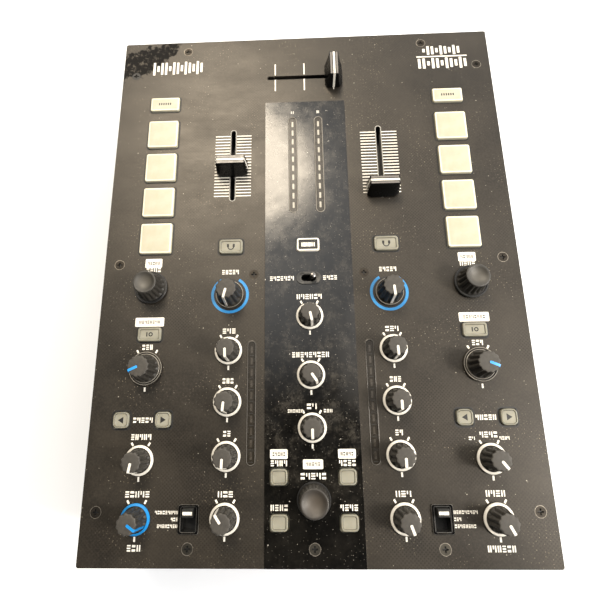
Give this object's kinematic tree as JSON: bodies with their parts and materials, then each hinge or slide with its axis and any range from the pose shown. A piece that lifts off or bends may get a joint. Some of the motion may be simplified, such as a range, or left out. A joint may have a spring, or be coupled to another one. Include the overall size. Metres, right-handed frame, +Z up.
{
  "type": "dj mixer",
  "caption": "Flat two-channel DJ battle mixer with a crossfader, channel faders, tapered knobs, square pads, push encoders and lit level meters.",
  "frame": {"origin": "on the table, under the middle of the faceplate", "axes": "+X is the user's right, +Y runs from the user's edge (crossfader) to the rear sockets, +Z is up"},
  "size_m": [0.267, 0.358, 0.1103],
  "materials": {
    "panel": "fine matt black powder coat",
    "case": "fine matt black powder coat",
    "board": "solder mask",
    "connectors": "satin black moulding",
    "screws": "black zinc",
    "feet": "matt",
    "knob": "soft touch",
    "pad": "translucent silicone",
    "button": "translucent silicone",
    "fader": "satin",
    "shaft": "turned",
    "lever": "satin"
  },
  "bodies": {
    "root": {"faceplate": "panel", "chassis": "case", "control_board": "board", "sockets": "connectors", "fasteners": "screws", "rubber_feet": "feet"},
    "crossfader": {"crossfader": "fader"},
    "ch1_fader": {"ch1_fader": "fader"},
    "ch2_fader": {"ch2_fader": "fader"},
    "ch1_input_lever": {"ch1_input_lever": "lever"},
    "ch2_input_lever": {"ch2_input_lever": "lever"},
    "cues_sampler_toggle": {"cues_sampler_toggle": "lever"},
    "loop_1_encoder_shaft": {"loop_1_encoder_shaft": "shaft"},
    "loop_1_encoder_knob": {"loop_1_encoder_knob": "knob"},
    "loop_2_encoder_shaft": {"loop_2_encoder_shaft": "shaft"},
    "loop_2_encoder_knob": {"loop_2_encoder_knob": "knob"},
    "library_encoder_shaft": {"library_encoder_shaft": "shaft"},
    "library_encoder_knob": {"library_encoder_knob": "knob"},
    "ch1_trim_knob": {"ch1_trim_knob": "knob"},
    "ch2_trim_knob": {"ch2_trim_knob": "knob"},
    "ch1_hi_knob": {"ch1_hi_knob": "knob"},
    "ch2_hi_knob": {"ch2_hi_knob": "knob"},
    "ch1_mid_knob": {"ch1_mid_knob": "knob"},
    "ch2_mid_knob": {"ch2_mid_knob": "knob"},
    "ch1_low_knob": {"ch1_low_knob": "knob"},
    "ch2_low_knob": {"ch2_low_knob": "knob"},
    "ch1_filter_knob": {"ch1_filter_knob": "knob"},
    "ch2_filter_knob": {"ch2_filter_knob": "knob"},
    "fx1_knob": {"fx1_knob": "knob"},
    "fx2_knob": {"fx2_knob": "knob"},
    "mic_level_knob": {"mic_level_knob": "knob"},
    "mic_tone_knob": {"mic_tone_knob": "knob"},
    "master_knob": {"master_knob": "knob"},
    "booth_knob": {"booth_knob": "knob"},
    "headphone_mix_knob": {"headphone_mix_knob": "knob"},
    "headphone_level_knob": {"headphone_level_knob": "knob"},
    "sampler_knob": {"sampler_knob": "knob"},
    "shift_button": {"shift_button": "button"},
    "bank_1_button": {"bank_1_button": "pad"},
    "pad_1_1": {"pad_1_1": "pad"},
    "pad_1_2": {"pad_1_2": "pad"},
    "pad_1_3": {"pad_1_3": "pad"},
    "pad_1_4": {"pad_1_4": "pad"},
    "ch1_cue_button": {"ch1_cue_button": "button"},
    "fx1_on_button": {"fx1_on_button": "button"},
    "beats_1_left_button": {"beats_1_left_button": "button"},
    "beats_1_right_button": {"beats_1_right_button": "button"},
    "sync_1_button": {"sync_1_button": "button"},
    "load_1_button": {"load_1_button": "button"},
    "bank_2_button": {"bank_2_button": "pad"},
    "pad_2_1": {"pad_2_1": "pad"},
    "pad_2_2": {"pad_2_2": "pad"},
    "pad_2_3": {"pad_2_3": "pad"},
    "pad_2_4": {"pad_2_4": "pad"},
    "ch2_cue_button": {"ch2_cue_button": "button"},
    "fx2_on_button": {"fx2_on_button": "button"},
    "beats_2_left_button": {"beats_2_left_button": "button"},
    "beats_2_right_button": {"beats_2_right_button": "button"},
    "sync_2_button": {"sync_2_button": "button"},
    "load_2_button": {"load_2_button": "button"}
  },
  "joints": [
    {"name": "crossfader_slide", "type": "slide", "parent": "root", "child": "crossfader", "axis": [1, 0, 0], "range_m": [-0.0015, 0.0435]},
    {"name": "ch1_fader_slide", "type": "slide", "parent": "root", "child": "ch1_fader", "axis": [0, 1, 0], "range_m": [-0.044, 0.001]},
    {"name": "ch2_fader_slide", "type": "slide", "parent": "root", "child": "ch2_fader", "axis": [0, 1, 0], "range_m": [-0.026, 0.019]},
    {"name": "ch1_input_slide", "type": "slide", "parent": "root", "child": "ch1_input_lever", "axis": [0, 1, 0], "range_m": [0, 0.0072]},
    {"name": "ch2_input_slide", "type": "slide", "parent": "root", "child": "ch2_input_lever", "axis": [0, 1, 0], "range_m": [0, 0.0072]},
    {"name": "cues_sampler_throw", "type": "hinge", "parent": "root", "child": "cues_sampler_toggle", "pos_m": [0, 0.0104, 0.0855], "axis": [0, 1, 0], "range_deg": [0, 24]},
    {"name": "loop_1_encoder_press", "type": "slide", "parent": "root", "child": "loop_1_encoder_shaft", "axis": [0, 0, -1], "range_m": [0, 0.0007], "stiffness_N_per_m": 1500, "springref_m": -0.0008},
    {"name": "loop_1_encoder_turn", "type": "hinge", "parent": "loop_1_encoder_shaft", "child": "loop_1_encoder_knob", "pos_m": [-0.1015, 0.0151, 0.092], "axis": [0, 0, -1], "continuous": true},
    {"name": "loop_2_encoder_press", "type": "slide", "parent": "root", "child": "loop_2_encoder_shaft", "axis": [0, 0, -1], "range_m": [0, 0.0007], "stiffness_N_per_m": 1500, "springref_m": -0.0008},
    {"name": "loop_2_encoder_turn", "type": "hinge", "parent": "loop_2_encoder_shaft", "child": "loop_2_encoder_knob", "pos_m": [0.1015, 0.0151, 0.092], "axis": [0, 0, -1], "continuous": true},
    {"name": "library_encoder_press", "type": "slide", "parent": "root", "child": "library_encoder_shaft", "axis": [0, 0, -1], "range_m": [0, 0.0007], "stiffness_N_per_m": 1500, "springref_m": -0.0008},
    {"name": "library_encoder_turn", "type": "hinge", "parent": "library_encoder_shaft", "child": "library_encoder_knob", "pos_m": [0, 0.141, 0.092], "axis": [0, 0, -1], "continuous": true},
    {"name": "ch1_trim_turn", "type": "hinge", "parent": "root", "child": "ch1_trim_knob", "pos_m": [-0.0505, 0.1508, 0.092], "axis": [0, 0, -1], "range_deg": [-131, 169]},
    {"name": "ch2_trim_turn", "type": "hinge", "parent": "root", "child": "ch2_trim_knob", "pos_m": [0.0505, 0.1508, 0.092], "axis": [0, 0, -1], "range_deg": [-295, 5]},
    {"name": "ch1_hi_turn", "type": "hinge", "parent": "root", "child": "ch1_hi_knob", "pos_m": [-0.0505, 0.1176, 0.092], "axis": [0, 0, -1], "range_deg": [-150, 150]},
    {"name": "ch2_hi_turn", "type": "hinge", "parent": "root", "child": "ch2_hi_knob", "pos_m": [0.0505, 0.1176, 0.092], "axis": [0, 0, -1], "range_deg": [-152, 148]},
    {"name": "ch1_mid_turn", "type": "hinge", "parent": "root", "child": "ch1_mid_knob", "pos_m": [-0.0505, 0.0869, 0.092], "axis": [0, 0, -1], "range_deg": [-150, 150]},
    {"name": "ch2_mid_turn", "type": "hinge", "parent": "root", "child": "ch2_mid_knob", "pos_m": [0.0505, 0.0869, 0.092], "axis": [0, 0, -1], "range_deg": [-155, 145]},
    {"name": "ch1_low_turn", "type": "hinge", "parent": "root", "child": "ch1_low_knob", "pos_m": [-0.0505, 0.0562, 0.092], "axis": [0, 0, -1], "range_deg": [-148, 152]},
    {"name": "ch2_low_turn", "type": "hinge", "parent": "root", "child": "ch2_low_knob", "pos_m": [0.0505, 0.0562, 0.092], "axis": [0, 0, -1], "range_deg": [-148, 152]},
    {"name": "ch1_filter_turn", "type": "hinge", "parent": "root", "child": "ch1_filter_knob", "pos_m": [-0.0505, 0.0205, 0.092], "axis": [0, 0, -1], "range_deg": [-146, 154]},
    {"name": "ch2_filter_turn", "type": "hinge", "parent": "root", "child": "ch2_filter_knob", "pos_m": [0.0505, 0.0205, 0.092], "axis": [0, 0, -1], "range_deg": [-164, 136]},
    {"name": "fx1_turn", "type": "hinge", "parent": "root", "child": "fx1_knob", "pos_m": [-0.1015, 0.0665, 0.092], "axis": [0, 0, -1], "range_deg": [-83, 217]},
    {"name": "fx2_turn", "type": "hinge", "parent": "root", "child": "fx2_knob", "pos_m": [0.1015, 0.0665, 0.092], "axis": [0, 0, -1], "range_deg": [-215, 85]},
    {"name": "mic_level_turn", "type": "hinge", "parent": "root", "child": "mic_level_knob", "pos_m": [-0.1015, 0.151, 0.092], "axis": [0, 0, -1], "range_deg": [-123, 177]},
    {"name": "mic_tone_turn", "type": "hinge", "parent": "root", "child": "mic_tone_knob", "pos_m": [-0.1015, 0.1196, 0.092], "axis": [0, 0, -1], "range_deg": [-112, 188]},
    {"name": "master_turn", "type": "hinge", "parent": "root", "child": "master_knob", "pos_m": [0.1015, 0.151, 0.092], "axis": [0, 0, -1], "range_deg": [-94, 206]},
    {"name": "booth_turn", "type": "hinge", "parent": "root", "child": "booth_knob", "pos_m": [0.1015, 0.1196, 0.092], "axis": [0, 0, -1], "range_deg": [-160, 140]},
    {"name": "headphone_mix_turn", "type": "hinge", "parent": "root", "child": "headphone_mix_knob", "pos_m": [0, 0.102, 0.092], "axis": [0, 0, -1], "range_deg": [-150, 150]},
    {"name": "headphone_level_turn", "type": "hinge", "parent": "root", "child": "headphone_level_knob", "pos_m": [0, 0.0715, 0.092], "axis": [0, 0, -1], "range_deg": [-116, 184]},
    {"name": "sampler_turn", "type": "hinge", "parent": "root", "child": "sampler_knob", "pos_m": [0, 0.0353, 0.092], "axis": [0, 0, -1], "range_deg": [-138, 162]},
    {"name": "shift_press", "type": "slide", "parent": "root", "child": "shift_button", "axis": [0, 0, -1], "range_m": [0, 0.001], "stiffness_N_per_m": 900, "springref_m": -0.0009},
    {"name": "bank_1_press", "type": "slide", "parent": "root", "child": "bank_1_button", "axis": [0, 0, -1], "range_m": [0, 0.001], "stiffness_N_per_m": 900, "springref_m": -0.0009},
    {"name": "pad_1_1_press", "type": "slide", "parent": "root", "child": "pad_1_1", "axis": [0, 0, -1], "range_m": [0, 0.0012], "stiffness_N_per_m": 900, "springref_m": -0.0009},
    {"name": "pad_1_2_press", "type": "slide", "parent": "root", "child": "pad_1_2", "axis": [0, 0, -1], "range_m": [0, 0.0012], "stiffness_N_per_m": 900, "springref_m": -0.0009},
    {"name": "pad_1_3_press", "type": "slide", "parent": "root", "child": "pad_1_3", "axis": [0, 0, -1], "range_m": [0, 0.0012], "stiffness_N_per_m": 900, "springref_m": -0.0009},
    {"name": "pad_1_4_press", "type": "slide", "parent": "root", "child": "pad_1_4", "axis": [0, 0, -1], "range_m": [0, 0.0012], "stiffness_N_per_m": 900, "springref_m": -0.0009},
    {"name": "ch1_cue_press", "type": "slide", "parent": "root", "child": "ch1_cue_button", "axis": [0, 0, -1], "range_m": [0, 0.001], "stiffness_N_per_m": 900, "springref_m": -0.0009},
    {"name": "fx1_on_press", "type": "slide", "parent": "root", "child": "fx1_on_button", "axis": [0, 0, -1], "range_m": [0, 0.001], "stiffness_N_per_m": 900, "springref_m": -0.0009},
    {"name": "beats_1_left_press", "type": "slide", "parent": "root", "child": "beats_1_left_button", "axis": [0, 0, -1], "range_m": [0, 0.001], "stiffness_N_per_m": 900, "springref_m": -0.0009},
    {"name": "beats_1_right_press", "type": "slide", "parent": "root", "child": "beats_1_right_button", "axis": [0, 0, -1], "range_m": [0, 0.001], "stiffness_N_per_m": 900, "springref_m": -0.0009},
    {"name": "sync_1_press", "type": "slide", "parent": "root", "child": "sync_1_button", "axis": [0, 0, -1], "range_m": [0, 0.001], "stiffness_N_per_m": 900, "springref_m": -0.0009},
    {"name": "load_1_press", "type": "slide", "parent": "root", "child": "load_1_button", "axis": [0, 0, -1], "range_m": [0, 0.001], "stiffness_N_per_m": 900, "springref_m": -0.0009},
    {"name": "bank_2_press", "type": "slide", "parent": "root", "child": "bank_2_button", "axis": [0, 0, -1], "range_m": [0, 0.001], "stiffness_N_per_m": 900, "springref_m": -0.0009},
    {"name": "pad_2_1_press", "type": "slide", "parent": "root", "child": "pad_2_1", "axis": [0, 0, -1], "range_m": [0, 0.0012], "stiffness_N_per_m": 900, "springref_m": -0.0009},
    {"name": "pad_2_2_press", "type": "slide", "parent": "root", "child": "pad_2_2", "axis": [0, 0, -1], "range_m": [0, 0.0012], "stiffness_N_per_m": 900, "springref_m": -0.0009},
    {"name": "pad_2_3_press", "type": "slide", "parent": "root", "child": "pad_2_3", "axis": [0, 0, -1], "range_m": [0, 0.0012], "stiffness_N_per_m": 900, "springref_m": -0.0009},
    {"name": "pad_2_4_press", "type": "slide", "parent": "root", "child": "pad_2_4", "axis": [0, 0, -1], "range_m": [0, 0.0012], "stiffness_N_per_m": 900, "springref_m": -0.0009},
    {"name": "ch2_cue_press", "type": "slide", "parent": "root", "child": "ch2_cue_button", "axis": [0, 0, -1], "range_m": [0, 0.001], "stiffness_N_per_m": 900, "springref_m": -0.0009},
    {"name": "fx2_on_press", "type": "slide", "parent": "root", "child": "fx2_on_button", "axis": [0, 0, -1], "range_m": [0, 0.001], "stiffness_N_per_m": 900, "springref_m": -0.0009},
    {"name": "beats_2_left_press", "type": "slide", "parent": "root", "child": "beats_2_left_button", "axis": [0, 0, -1], "range_m": [0, 0.001], "stiffness_N_per_m": 900, "springref_m": -0.0009},
    {"name": "beats_2_right_press", "type": "slide", "parent": "root", "child": "beats_2_right_button", "axis": [0, 0, -1], "range_m": [0, 0.001], "stiffness_N_per_m": 900, "springref_m": -0.0009},
    {"name": "sync_2_press", "type": "slide", "parent": "root", "child": "sync_2_button", "axis": [0, 0, -1], "range_m": [0, 0.001], "stiffness_N_per_m": 900, "springref_m": -0.0009},
    {"name": "load_2_press", "type": "slide", "parent": "root", "child": "load_2_button", "axis": [0, 0, -1], "range_m": [0, 0.001], "stiffness_N_per_m": 900, "springref_m": -0.0009}
  ]
}
